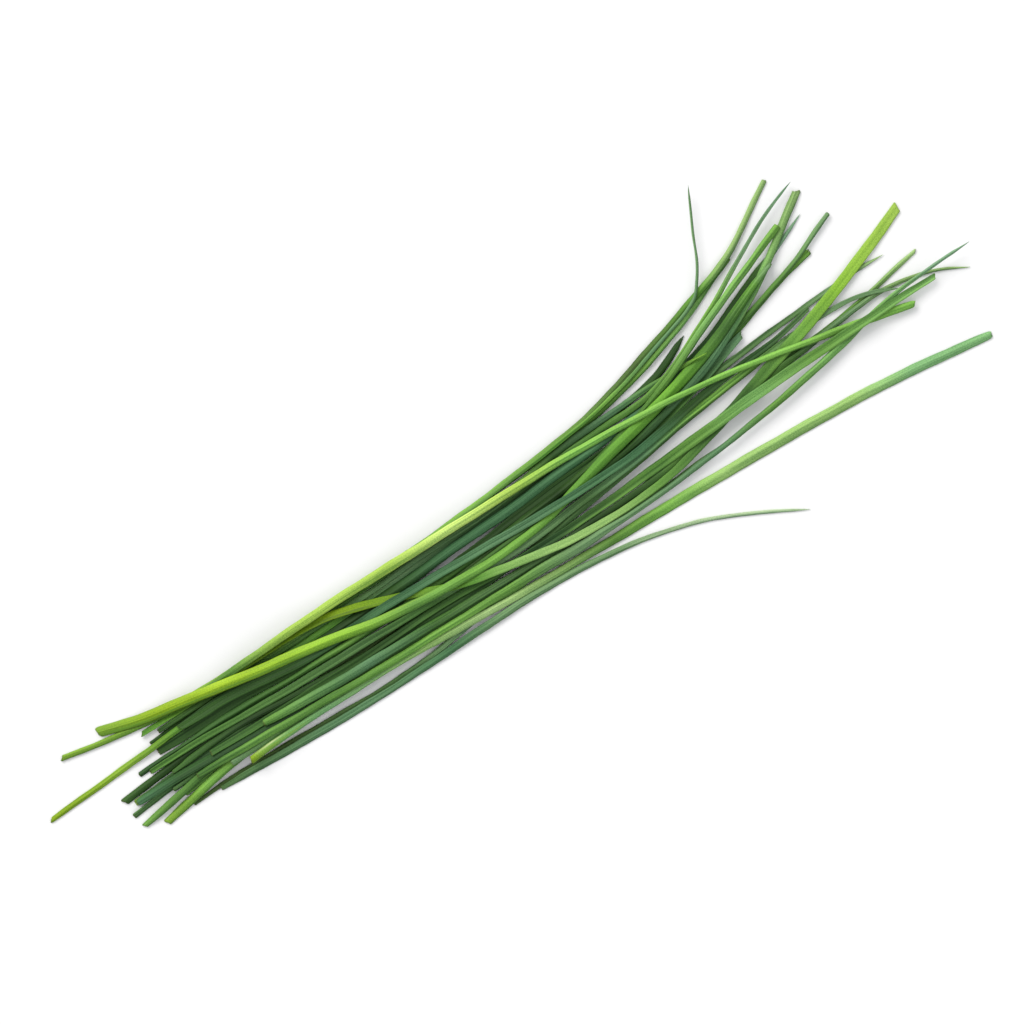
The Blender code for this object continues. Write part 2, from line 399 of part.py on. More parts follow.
def green(slot):
    colour, roughness = GREENS[slot]
    material = bpy.data.materials.new(slot)
    material.use_nodes = True
    shader = material.node_tree.nodes["Principled BSDF"]
    shader.inputs["Base Color"].default_value = (*colour, 1.0)
    shader.inputs["Roughness"].default_value = roughness
    shader.inputs["Metallic"].default_value = 0.0
    material.diffuse_color = (*colour, 1.0)
    return material


def settled_bunch():
    blades = [Blade(*row) for row in BLADES]
    settle(blades)
    return blades


def main():
    for obj in list(bpy.data.objects):
        bpy.data.objects.remove(obj, do_unlink=True)
    blades = settled_bunch()
    lowest = min((heights - blade.thick).min() for blade in blades for heights in shoulder_heights(blade))
    left = min((blade.y - blade.half).min() for blade in blades)
    right = max((blade.y + blade.half).max() for blade in blades)
    start, end = min(blade.x[0] for blade in blades), max(blade.x[-1] for blade in blades)
    middle = np.array([(start + end) / 2, (left + right) / 2, lowest])
    materials = {slot: green(slot) for slot in GREENS}
    for blade in blades:
        add_blade(blade, middle, materials[blade.slot])
    print("blades", len(blades), "highest mm", max(blade.edges.max() for blade in blades))


main()
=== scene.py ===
# Bunch of garlic chives lying on a table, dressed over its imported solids.
# Every leaf is a surface worked out on a grid: along the blade one way, round its section the other way.
import math

import bpy
import numpy as np
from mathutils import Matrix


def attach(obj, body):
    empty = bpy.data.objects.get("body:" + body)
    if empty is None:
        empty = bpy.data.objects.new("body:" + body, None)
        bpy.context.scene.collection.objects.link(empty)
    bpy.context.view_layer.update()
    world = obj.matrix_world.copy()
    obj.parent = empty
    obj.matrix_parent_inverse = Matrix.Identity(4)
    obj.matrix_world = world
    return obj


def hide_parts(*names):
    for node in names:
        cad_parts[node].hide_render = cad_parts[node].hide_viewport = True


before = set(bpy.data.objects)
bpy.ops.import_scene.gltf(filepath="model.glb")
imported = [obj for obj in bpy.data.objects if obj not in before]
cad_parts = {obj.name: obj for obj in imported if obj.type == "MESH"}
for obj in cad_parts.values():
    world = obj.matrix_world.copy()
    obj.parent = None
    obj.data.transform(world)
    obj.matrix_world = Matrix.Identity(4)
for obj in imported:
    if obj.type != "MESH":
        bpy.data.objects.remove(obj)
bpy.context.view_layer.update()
print("frame loaded:", len(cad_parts), "leaves")

# Where the picture's middle lies in the model, in mm, and how far the bunch is turned in it
picture = {"middle": (3.85, -1.19), "turn": 34.0, "width": 307.2, "lens": 200.0, "sensor": 36.0}

# Greens as they look in white light, 0 to 255; the darkest, such as night, also serve as painted shade where a blade
# lies under others
greens = {
    "bottle": (44, 74, 34), "deep": (50, 82, 46), "forest": (58, 92, 44), "olive": (70, 94, 50),
    "shade": (66, 104, 50), "sage": (78, 112, 68), "teal": (68, 110, 78), "blue": (86, 124, 92),
    "mid": (80, 122, 56), "leaf": (88, 138, 54), "meadow": (98, 142, 68), "fresh": (112, 160, 74),
    "grass": (118, 154, 52), "moss": (128, 158, 26), "lime": (138, 184, 64), "pale": (160, 192, 88),
    "mint": (146, 184, 114), "glow": (116, 164, 96), "haze": (108, 142, 104), "mist": (110, 146, 120),
    "jade": (124, 172, 122), "apple": (102, 156, 56), "spring": (156, 188, 46), "butter": (194, 220, 128),
    "leek": (128, 182, 88), "dusty": (132, 164, 108), "silver": (168, 200, 140), "frost": (156, 180, 150),
    "cream": (214, 218, 176), "night": (36, 60, 28), "bark": (84, 74, 40)}

# One entry for each leaf. tones: (mm along the bunch from the picture's middle, green), partly the leaf's own colour
# and partly painted shade where a blade lies under others.
# fold: mm that the edges stand over the middle. ridge: steepness of the leaf's two sides, down from its keel, or with
# a minus down to its groove; it also sets the painted light and shade on the two flanks.
# lit: how much painted light makes the upper side paler, or with a minus the lower, and how strong the painted
# highlight along the upper edge is.
# baseSlant, tipSlant: mm that the cut leans. baseTorn, tipTorn: mm that the cut is ragged.
# baseRound, tipRound: mm over which the corners are rounded. point: mm over which the tip narrows to nothing.
# stripes: (from, to, across, width, green, strength), lengthwise lines of another green: partly the leaf's own
# streaks and veins, partly painted highlights and painted shade along one side. rims: how brown the two cuts are.
# plain: how streaky it is.
# trim: (mm along, mm to the upper side, mm more on each side) where it departs from the solid blade.
leaves = {
    "leaf_01_long_top": {
        "tones": [(-140, "grass"), (-122, "moss"), (-102, "spring"), (-62, "lime"), (-40, "meadow"),
                  (-18, "fresh"), (30, "leaf"), (60, "apple"), (84, "shade"), (98, "leaf"), (106, "haze")],
        "fold": -0.1, "ridge": 0.22, "lit": 0.3, "plain": 0.5, "baseSlant": 0.5, "baseRound": 1.0, "tipTorn": 0.5,
        # The pale stripe near the upper edge is a painted highlight; the mint stripes are pale veins.
        "stripes": [(-141, -30, 0.78, 0.16, "pale", 0.5), (-141, -70, -0.6, 0.4, "leaf", 0.6),
                    (84, 110, 0.3, 0.12, "mint", 0.5), (84, 110, -0.35, 0.1, "mint", 0.4)]},
    "leaf_02_crossing": {
        "tones": [(-153, "grass"), (-96, "meadow"), (-76, "pale"), (-40, "pale"), (-20, "butter"), (4, "pale"),
                  (24, "leek"), (92, "leek"), (110, "fresh"), (135, "leek")],
        "fold": -0.08, "ridge": 0.28, "lit": 0.2, "plain": 0.75, "baseSlant": -0.4, "tipSlant": 0.3,
        "tipRound": 1.2,
        # The pale stripe on the upper side is a painted highlight.
        "stripes": [(-70, 60, 0.62, 0.2, "pale", 0.35)]},
    "leaf_03_broad_bright": {
        "tones": [(-129, "leaf"), (-62, "moss"), (-20, "leaf"), (0, "mint"), (22, "mint"), (42, "meadow"),
                  (60, "shade"), (80, "shade"), (100, "fresh"), (118, "lime"), (147, "pale")],
        "fold": 0.08, "ridge": -0.07, "lit": 0.15, "baseSlant": -0.4, "tipSlant": 0.65, "plain": 0.4,
        # The olive stripe over the lower half is painted shade on the side away from the light.
        "stripes": [(-70, -48, -0.5, 0.45, "olive", 0.6), (50, 90, -0.15, 0.14, "forest", 0.35)]},
    "leaf_04_blue": {
        "tones": [(-119, "forest"), (-80, "bottle"), (-40, "teal"), (-4, "blue"), (20, "teal"), (44, "teal"),
                  (60, "bottle"), (90, "deep"), (108, "sage")],
        "fold": 0.14, "ridge": -0.2, "lit": 0.1, "baseSlant": 0.4, "tipSlant": 0.35, "rims": (0.2, 0.1),
        "stripes": [(-60, 30, 0.35, 0.12, "haze", 0.5), (-50, 40, -0.45, 0.1, "haze", 0.35)]},
    "leaf_05_dark_left": {
        "tones": [(-128, "bottle"), (-20, "bottle"), (0, "night"), (24, "bottle"), (74, "sage"), (104, "sage"),
                  (120, "haze"), (135, "dusty")],
        "fold": 0.1, "ridge": -0.22, "lit": 0.15, "point": 6, "rims": (0.7, 0.0)},
    "leaf_06_thin_left": {
        "tones": [(-166, "moss"), (-136, "grass"), (-118, "leaf"), (-96, "forest"), (-62, "night"),
                  (-44, "bottle"), (-20, "teal"), (48, "teal"), (70, "deep"), (92, "bottle"), (102, "shade"),
                  (112, "mist")],
        "fold": -0.08, "ridge": 0.26, "lit": 0.25, "baseSlant": -0.5, "baseRound": 1.0, "point": 5,
        "trim": [(-50, 0, 0), (-36, -0.15, 0.15), (-4, -0.2, 0.2), (6, -0.1, 0.1), (12, 0, 0)]},
    "leaf_07_kinked_upper": {
        "tones": [(-116, "grass"), (0, "fresh"), (56, "olive"), (84, "leaf"), (98, "dusty"), (118, "dusty")],
        "fold": 0.08, "ridge": 0.26, "lit": 0.25, "plain": 0.7},
    "leaf_08_raised_tip": {
        "tones": [(-92, "meadow"), (4, "meadow"), (20, "leaf"), (44, "fresh"), (62, "blue"), (98, "haze")],
        "fold": 0.05, "ridge": 0.2, "lit": 0.15, "point": 4},
    "leaf_09_upper_pair": {
        "tones": [(-104, "meadow"), (0, "meadow"), (22, "leaf"), (60, "meadow"), (80, "glow"), (96, "meadow")],
        "fold": 0.08, "ridge": 0.24, "lit": 0.25, "tipTorn": 0.5, "tipRound": 0.8,
        "trim": [(-56, 0, 0), (-45, -0.15, 0.15), (0, -0.1, 0.1), (14, -0.2, 0.15), (35, -0.35, 0.25),
                 (58, -0.2, 0.2), (68, 0, 0)]},
    "leaf_10_short_point": {
        "tones": [(-98, "meadow"), (-4, "fresh"), (20, "bottle"), (42, "blue"), (62, "meadow"), (75, "lime")],
        "fold": 0.05, "ridge": 0.22, "lit": 0.2, "point": 7,
        "trim": [(8, 0, 0), (28, 0.25, 0.25), (56, 0.1, 0.1), (66, 0, 0)]},
    "leaf_11_fan_high": {
        "tones": [(-125, "bottle"), (-80, "meadow"), (-36, "haze"), (0, "sage"), (36, "mid"), (66, "meadow"),
                  (84, "fresh"), (98, "haze"), (124, "mist")],
        "fold": 0.08, "ridge": 0.24, "lit": 0.25, "point": 5,
        "trim": [(-88, 0, 0), (-76, -0.1, 0.15), (-66, 0, 0), (30, 0, 0), (43, -0.15, 0.2), (56, 0, 0)]},
    "leaf_12_dark_short": {
        "tones": [(-129, "bottle"), (-62, "leaf"), (-40, "haze"), (-16, "deep"), (36, "shade"), (60, "bottle")],
        "fold": 0.08, "ridge": 0.18, "lit": 0.15, "point": 4, "rims": (0.7, 0.0),
        "trim": [(52, 0, 0), (64, -0.1, 0.3)]},
    "leaf_13_fan_middle": {
        "tones": [(-137, "deep"), (-80, "shade"), (-62, "meadow"), (-20, "shade"), (14, "night"), (44, "mid"),
                  (64, "meadow"), (82, "glow"), (114, "fresh")],
        "fold": -0.12, "ridge": 0.3, "lit": 0.2,
        "trim": [(-112, 0, 0), (-97, 0.2, 0.2), (-84, 0, 0), (-72, -0.1, 0.1), (-52, -0.2, 0.15), (-42, 0, 0),
                 (104, 0, 0), (113, -0.1, 0.2)]},
    "leaf_14_blue_tip": {
        "tones": [(-145, "forest"), (-120, "night"), (-76, "mid"), (0, "forest"), (42, "bottle"), (80, "blue"),
                  (100, "glow"), (124, "dusty")],
        "fold": -0.16, "ridge": 0.32, "lit": 0.2, "baseSlant": 0.5, "tipSlant": -0.5, "plain": 0.8,
        "trim": [(-145, -0.2, 0.2), (-128, -0.2, 0.2), (-120, -0.1, 0.15), (-100, 0, 0), (110, 0, 0),
                 (123, 0, 0.25)],
        # Both mint stripes are painted highlights, along the keel and along the lower edge.
        "stripes": [(90, 122, 0.1, 0.14, "mint", 0.6), (84, 102, -0.75, 0.2, "mint", 0.5)]},
    "leaf_15_dark_middle": {
        "tones": [(-133, "mid"), (-60, "sage"), (-36, "shade"), (-8, "haze"), (20, "sage"), (42, "blue"),
                  (62, "fresh"), (84, "meadow"), (104, "haze"), (134, "haze")],
        "fold": 0.12, "ridge": -0.2, "lit": 0.2, "baseRound": 1.0, "point": 5, "rims": (0.6, 0.0),
        "trim": [(-20, 0, 0), (-10, -0.2, 0.2), (4, -0.15, 0.15), (14, 0, 0)]},
    "leaf_16_torn_end": {
        "tones": [(-142, "grass"), (-137, "sage"), (-118, "deep"), (-50, "olive"), (16, "sage"), (40, "bottle"),
                  (62, "shade"), (86, "blue")],
        "fold": 0.14, "ridge": -0.24, "lit": 0.15, "tipSlant": 0.6, "tipTorn": 0.5,
        "trim": [(-142, 0, 0.1), (-128, 0.1, 0.25), (-110, 0, 0), (-92, 0, 0), (-77, 0.15, 0.15), (-66, 0, 0),
                 (44, 0, 0), (58, -0.15, 0.2), (72, 0, 0.1)]},
    "leaf_17_lower_fan": {
        "tones": [(-145, "sage"), (-96, "teal"), (-60, "olive"), (20, "sage"), (60, "mid"), (100, "meadow"),
                  (117, "fresh")],
        "fold": 0.1, "ridge": 0.26, "lit": 0.2, "tipTorn": 0.6,
        "trim": [(80, 0, 0), (92, 0, -0.2), (108, 0, -0.15), (117, -0.3, 0.05)]},
    "leaf_18_outer_fan": {
        "tones": [(-131, "sage"), (-96, "deep"), (-60, "bottle"), (20, "sage"), (78, "shade"), (104, "mid"),
                  (129, "haze")],
        "fold": 0.08, "ridge": 0.26, "lit": 0.25,
        "trim": [(84, -0.1, 0), (94, -0.5, -0.25), (108, -0.5, -0.25), (120, -0.3, 0), (129, -0.2, 0.05)]},
    "leaf_19_low_long": {
        "tones": [(-122, "shade"), (-98, "meadow"), (-80, "mid"), (-42, "fresh"), (-12, "meadow"), (10, "haze"),
                  (62, "blue"), (84, "meadow"), (104, "glow"), (128, "glow"), (144, "mist"), (158, "mist")],
        "fold": 0.1, "ridge": 0.24, "lit": 0.2, "point": 6, "rims": (0.6, 0.0),
        "trim": [(-14, 0, 0), (-4, -0.2, 0.15), (12, -0.25, 0.2), (24, 0, 0), (104, 0, 0), (114, -0.15, 0.1),
                 (122, 0, 0)]},
    "leaf_20_pale_outer": {
        "tones": [(-106, "moss"), (-94, "glow"), (-80, "jade"), (-44, "mint"), (-22, "silver"), (0, "mint"),
                  (20, "meadow"), (40, "leek"), (60, "mint"), (104, "mint"), (124, "jade"), (149, "jade")],
        "fold": -0.08, "ridge": 0.24, "lit": 0.15, "baseSlant": -0.3, "plain": 0.7, "tipTorn": 0.3,
        "tipRound": 1.0, "rims": (0.5, 0.2),
        # The cream stripe along the upper side near the base is a painted highlight.
        "stripes": [(-105, -92, 0.68, 0.3, "cream", 0.9), (-104, -84, -0.2, 0.3, "moss", 0.6)]},
    "leaf_21_broad_low": {
        "tones": [(-115, "shade"), (-80, "forest"), (-60, "bottle"), (-40, "forest"), (-20, "shade"), (2, "deep"),
                  (22, "forest"), (42, "mid"), (60, "meadow"), (80, "glow"), (102, "meadow"), (144, "glow")],
        "fold": 0.14, "ridge": -0.2, "lit": 0.0, "tipSlant": 0.35, "rims": (0.6, 0.3),
        # The mid stripe on the upper half near the tip is painted shade on the shaded side of the groove.
        "stripes": [(8, 40, -0.6, 0.4, "fresh", 0.7), (114, 146, 0.55, 0.5, "mid", 0.6),
                    (70, 120, 0.0, 0.12, "mid", 0.4)]},
    "leaf_22_thin_hook": {
        "tones": [(-97, "meadow"), (-60, "blue"), (-38, "shade"), (-16, "sage"), (18, "night"), (44, "forest"),
                  (62, "meadow"), (98, "forest"), (118, "haze"), (136, "dusty"), (155, "dusty")],
        "fold": 0.12, "ridge": 0.24, "lit": 0.2, "baseRound": 1.2, "point": 5, "rims": (0.6, 0.0)},
    "leaf_23_grey_low": {
        "tones": [(-142, "teal"), (-126, "deep"), (-100, "deep"), (-80, "bottle"), (-44, "shade"), (40, "shade"),
                  (76, "mid"), (100, "forest"), (120, "meadow"), (144, "silver")],
        "fold": 0.1, "ridge": 0.24, "lit": 0.25, "baseRound": 1.4, "tipRound": 1.0, "tipSlant": 0.4,
        "rims": (0.4, 0.5)},
    "leaf_24_olive_under": {
        "tones": [(-128, "shade"), (-100, "night"), (-76, "bottle"), (-10, "bottle"), (30, "sage"), (88, "meadow")],
        "fold": 0.08, "ridge": 0.2, "lit": 0.15, "point": 5,
        "trim": [(-128, 0, 0), (-122, 0, 0.3), (-100, 0, 0.1), (10, -0.1, 0.1), (24, -0.3, 0.15),
                 (64, -0.35, 0.15), (80, -0.1, 0)]},
    "leaf_25_olive_left": {
        "tones": [(-144, "meadow"), (-118, "shade"), (-80, "bottle"), (-50, "mid"), (-4, "meadow"), (24, "sage"),
                  (62, "sage")],
        "fold": 0.08, "ridge": 0.22, "lit": 0.25, "baseSlant": 0.4, "point": 5},
    "leaf_26_dark_low": {
        "tones": [(-128, "meadow"), (15, "mid")],
        "fold": 0.06, "ridge": 0.2, "lit": 0.15, "point": 4},
    "leaf_27_bright_base": {
        "tones": [(-138, "grass"), (-120, "fresh"), (-100, "meadow"), (-8, "mid")],
        "fold": -0.1, "ridge": 0.26, "lit": 0.25, "baseSlant": 0.35, "point": 4},
    "leaf_28_dull_under": {
        "tones": [(-112, "haze"), (-84, "meadow"), (-28, "meadow")],
        "fold": 0.06, "ridge": 0.2, "lit": 0.15, "baseRound": 0.8, "point": 4},
    "leaf_29_thin_edge": {
        "tones": [(-128, "olive"), (-90, "olive"), (-56, "sage"), (-36, "haze"), (38, "haze")],
        "fold": 0.05, "ridge": 0.2, "lit": 0.2, "point": 5,
        "trim": [(-50, 0, 0), (-38, -0.1, 0.2), (-28, -0.1, 0.15), (-16, 0, 0)]},
    "leaf_30_curved_outer": {
        "tones": [(-119, "sage"), (-80, "blue"), (-60, "blue"), (-38, "teal"), (-14, "haze"), (20, "haze"),
                  (48, "frost"), (75, "frost")],
        "fold": 0.1, "ridge": 0.24, "lit": 0.25, "point": 6}}

# What all blades share, in mm
blade = {"step": 1.2, "round": 52, "narrow": (0.7, 0.26), "broad": (1.6, 0.35), "flatness": 4.0, "roundness": 0.65,
         "keel": 0.10, "lowest": 0.03, "ribs": 0.016, "ribEvery": 0.46, "waver": 0.045, "waverLength": 19.0,
         "endLength": 5.0, "spread": 0.07, "dense": (0.0, 0.04, 0.12, 0.22, 0.35, 0.52, 0.75, 1.05, 1.45)}


# Smooth curve through points: cubic stretches whose slope at a point is that of the chord between its neighbours,
# and straight on past both ends
def throughPoints(x, pointsX, pointsY):
    slope = np.gradient(pointsY, pointsX)
    k = np.clip(np.searchsorted(pointsX, x) - 1, 0, len(pointsX) - 2)
    span = pointsX[k + 1] - pointsX[k]
    t = np.clip((x - pointsX[k]) / span, 0.0, 1.0)
    inside = ((2 * t**3 - 3 * t**2 + 1) * pointsY[k] + (t**3 - 2 * t**2 + t) * span * slope[k]
              + (3 * t**2 - 2 * t**3) * pointsY[k + 1] + (t**3 - t**2) * span * slope[k + 1])
    past = np.minimum(x - pointsX[0], 0) * slope[0] + np.maximum(x - pointsX[-1], 0) * slope[-1]
    return inside + past


# Both edges of a solid blade: each triangle side is cut by planes across the bunch, and the cut points with the
# least and the most y are the blade's lower and upper edge there
def bladeEdges(solid):
    points = np.empty(len(solid.data.vertices) * 3)
    solid.data.vertices.foreach_get("co", points)
    points = points.reshape(-1, 3) * 1000.0 - (*picture["middle"], 0.0)
    solid.data.calc_loop_triangles()
    corners = np.empty(len(solid.data.loop_triangles) * 3, np.int32)
    solid.data.loop_triangles.foreach_get("vertices", corners)
    corners = corners.reshape(-1, 3)
    starts, ends = points[corners.ravel()], points[np.roll(corners, -1, axis=1).ravel()]
    places = np.unique(np.round(points[:, 0], 2))
    places = places[np.concatenate([[True], np.diff(places) > 1.0])]
    cuts = np.clip(places, points[:, 0].min() + 0.02, points[:, 0].max() - 0.02)[:, None]
    run = ends[:, 0] - starts[:, 0]
    share = (cuts - starts[:, 0]) / np.where(np.abs(run) > 1e-6, run, 1e-6)
    hit = (share >= 0) & (share <= 1) & (np.abs(run) > 1e-6)
    y = starts[:, 1] + share * (ends[:, 1] - starts[:, 1])
    z = starts[:, 2] + share * (ends[:, 2] - starts[:, 2])
    rows = np.arange(len(places))
    lower, upper = np.where(hit, y, np.inf).argmin(axis=1), np.where(hit, y, -np.inf).argmax(axis=1)
    return cuts[:, 0], y[rows, lower], z[rows, lower], y[rows, upper], z[rows, upper]


# 1 at an end, falling with the square to nothing at the given length
def nearEnd(distance, length):
    return np.clip(1 - distance / length, 0, 1) ** 2


# Share of the width at a distance from an end whose corners are rounded: a quarter circle from 0.6 up to 1
def rounded(distance, radius):
    return 0.6 + 0.4 * np.sqrt(1 - np.clip(1 - distance / radius, 0, 1) ** 2)


# Leaf surface. Going round: u = -cos(angle) runs from one edge to the other over the top and back under.
# Height = middle surface + fold * (|u| - its mean) + or - half thickness * (1 - |u|^flatness)^roundness + ribs,
# less the keel's groove beneath. Side = middle line + u * reach, where reach = half width + spread + trim.
# Each point slides along the blade by u * half width * sin(turn), so sections stand square to the blade, and near
# a cut by the cut's slant and raggedness. Returns points, u, way walked along the blade, its length, place along.
def leafSurface(name, look, number):
    x, lowY, lowZ, highY, highZ = bladeEdges(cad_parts[name])
    middle, half = (lowY + highY) / 2, (highY - lowY) / 2
    height, tilt = (lowZ + highZ) / 2, (highZ - lowZ) / 2
    fine = np.linspace(x[0], x[-1], 1500)
    walk = np.concatenate([[0.0], np.cumsum(np.hypot(np.diff(fine), np.diff(throughPoints(fine, x, middle))))])
    rows = int((walk[-1] - 2 * blade["dense"][-1]) / blade["step"]) + 1
    inner = np.linspace(blade["dense"][-1], walk[-1] - blade["dense"][-1], rows)
    travelled = np.concatenate([blade["dense"][:-1], inner, walk[-1] - np.array(blade["dense"][-2::-1])])
    along = np.interp(travelled, walk, fine)
    turn = np.arctan(np.gradient(throughPoints(fine, x, middle), fine))
    sine = np.interp(along, fine, np.sin(turn))[:, None]
    angle = np.linspace(0.0, 2 * math.pi, blade["round"], endpoint=False)[None, :]
    u = -np.cos(angle)
    over = np.sign(np.sin(angle) + 1e-9)
    width = throughPoints(along, x, half)[:, None] * np.sqrt(1 - sine**2)
    fromBase, fromTip = travelled[:, None], (walk[-1] - travelled)[:, None]
    ragged = 0.6 * np.sin(7 * u + number) + 0.4 * np.sin(15 * u + 2.3 * number)
    atBase, atTip = nearEnd(fromBase, blade["endLength"]), nearEnd(fromTip, blade["endLength"])
    slide = (look.get("tipSlant", 0.0) * u + look.get("tipTorn", 0.15) * ragged) * atTip
    slide -= (look.get("baseSlant", 0.0) * u + look.get("baseTorn", 0.15) * ragged) * atBase
    place = along[:, None] - u * width * sine + slide * np.sqrt(1 - sine**2)
    turns = travelled[:, None] / blade["waverLength"] * math.pi
    waver = np.sin(2 * turns + number) * (1 + 0.5 * u) + 0.5 * np.sin(5.3 * turns + 2.0 * number) * u
    waver = waver * blade["waver"]
    narrowing = rounded(fromBase, look.get("baseRound", 0.2))
    if "point" in look:
        narrowing = narrowing * np.clip(fromTip / look["point"], 0.02, 1.0) ** 0.6
    else:
        narrowing = narrowing * rounded(fromTip, look.get("tipRound", 0.2))
    shiftX, shiftY, more = np.array(look.get("trim", [(0, 0, 0)]), float).T
    reach = throughPoints(place, x, half) + blade["spread"] + np.interp(place, shiftX, more)
    reach = np.maximum(reach, 0.25) * narrowing
    y = throughPoints(place, x, middle) + np.interp(place, shiftX, shiftY) + u * reach + waver * narrowing
    thick = np.interp(2 * width, (blade["narrow"][0], blade["broad"][0]), (blade["narrow"][1], blade["broad"][1]))
    thick = thick * narrowing**0.5
    body = (1 - np.abs(u) ** blade["flatness"]) ** blade["roundness"]
    ribs = blade["ribs"] * np.cos(2 * math.pi * u * width / blade["ribEvery"] + number) * body
    keel = blade["keel"] * np.exp(-(u / 0.22) ** 2) * (over < 0) * np.clip(width - 0.6, 0, 1)
    fold = look["fold"] * (np.sqrt(u**2 + 0.01) - 0.45) * np.clip(width, 0, 1.2) * narrowing
    z = (throughPoints(place, x, height) + u * throughPoints(place, x, tilt) * narrowing + fold
         + over * (thick * body + ribs * narrowing) - keel * 0.5)
    z = np.maximum(z, blade["lowest"] + 0.02 * over)
    points = np.stack([place, y, z], axis=-1)
    return points, u, travelled, walk[-1], along


# Closed mesh from rings of points: four-sided faces between the rings, and a fan from a middle point at both ends
def closedMesh(name, points, facts):
    rows, around = points.shape[:2]
    ends = np.stack([points[0].mean(axis=0), points[-1].mean(axis=0)])
    every = np.concatenate([points.reshape(-1, 3), ends]) + (*picture["middle"], 0.0)
    i, j = np.meshgrid(np.arange(rows - 1), np.arange(around), indexing="ij")
    a, b = i * around + j, i * around + (j + 1) % around
    quads = np.stack([a, b, b + around, a + around], axis=-1).reshape(-1, 4)
    ring = np.arange(around)
    first = np.stack([np.full(around, rows * around), (ring + 1) % around, ring], axis=-1)
    last = np.stack([np.full(around, rows * around + 1), ring, (ring + 1) % around], axis=-1)
    last[:, 1:] += (rows - 1) * around
    mesh = bpy.data.meshes.new(name)
    faces = [face[:, ::-1].tolist() for face in (quads, first, last)]
    mesh.from_pydata((every / 1000.0).tolist(), [], sum(faces, []))
    for key, values in facts.items():
        values = np.broadcast_to(values, (rows, around)).reshape(-1)
        values = np.concatenate([values, [values[0], values[-1]]]).astype(np.float32)
        mesh.attributes.new(key, "FLOAT", "POINT").data.foreach_set("value", values)
    mesh.shade_smooth()
    piece = bpy.data.objects.new(name, mesh)
    bpy.context.collection.objects.link(piece)
    return piece


# A shader output. Sums and products of outputs and numbers add Math nodes
class Wire:
    def __init__(self, finish, socket):
        self.finish, self.socket = finish, socket

    def combined(self, operation, first, second=0.0, clamp=False):
        return self.finish.node("ShaderNodeMath", {"operation": operation, "use_clamp": clamp}, {0: first, 1: second})

    def __add__(self, other):
        return self.combined("ADD", self, other)

    def __sub__(self, other):
        return self.combined("SUBTRACT", self, other)

    def __mul__(self, other):
        return self.combined("MULTIPLY", self, other)

    def __rsub__(self, other):
        return self.combined("SUBTRACT", other, self)

    def __pow__(self, other):
        return self.combined("POWER", self, other)

    __radd__ = __add__
    __rmul__ = __mul__

    def size(self):
        return self.combined("ABSOLUTE", self)

    def held(self):
        return self.combined("ADD", self, 0.0, True)


# One material being made
class Finish:
    def __init__(self, name):
        self.material = bpy.data.materials.new(name)
        self.material.use_nodes = True
        self.tree = self.material.node_tree
        self.shader = self.tree.nodes["Principled BSDF"]

    def node(self, kind, settings, sockets, output=0):
        made = self.tree.nodes.new(kind)
        for key, value in settings.items():
            if key == "stops":
                ramp = made.color_ramp.elements
                while len(ramp) < len(value):
                    ramp.new(0.5)
                for stop, (position, colour) in zip(ramp, value):
                    stop.position, stop.color = position, (*colour, 1.0)
            else:
                setattr(made, key, value)
        for key, value in sockets.items():
            if isinstance(value, Wire):
                self.tree.links.new(value.socket, made.inputs[key])
            else:
                made.inputs[key].default_value = value
        return Wire(self, made.outputs[output])

    def fact(self, name):
        return self.node("ShaderNodeAttribute", {"attribute_name": name}, {}, "Fac")

    def mixed(self, share, first, second, blend="MIX"):
        settings = {"data_type": "RGBA", "blend_type": blend}
        return self.node("ShaderNodeMix", settings, {0: share, 6: first, 7: second}, 2)

    def feed(self, name, wire):
        self.tree.links.new(wire.socket, self.shader.inputs[name])

    def grain(self, across, along, seed, detail=3.0):
        where = self.node("ShaderNodeCombineXYZ", {}, {0: across, 1: along, 2: seed})
        values = {"Vector": where, "Scale": 1.0, "Detail": detail, "Roughness": 0.55}
        return self.node("ShaderNodeTexNoise", {}, values)


# Linear colour of a green as it looks, over the light that a level leaf gets and reflects
levelLight = np.array([1.22, 1.16, 1.34])


def linear(colour):
    share = np.array(colour, float) / 255.0
    value = np.where(share <= 0.04045, share / 12.92, ((share + 0.055) / 1.055) ** 2.4)
    return tuple((value / levelLight).tolist())


# Leaf skin: green along the blade, lengthwise bands, fine veins, grain, patches, stripes, painted shade along the
# lower edge, a painted highlight along the upper edge, and brown cuts.
# share = 0.5 + each noise about its mean + painted light on the upper side + painted light on one flank of the keel
# and painted shade on the other, from 0 (darker and shaded) to 1 (paler and lit green).
# Relief in mm: down from the keel to both sides, rounded towards the edges, with raised veins and grain
skin = {"bands": 1.15, "veins": 1.7, "grain": 1.2, "patches": 0.6, "sides": 0.15, "edgeLight": 0.35, "roughness": 0.5,
        "specular": 0.12, "rounding": 0.02, "veinDepth": 0.09, "grainDepth": 0.02, "cut": 0.5, "fade": 6.0}


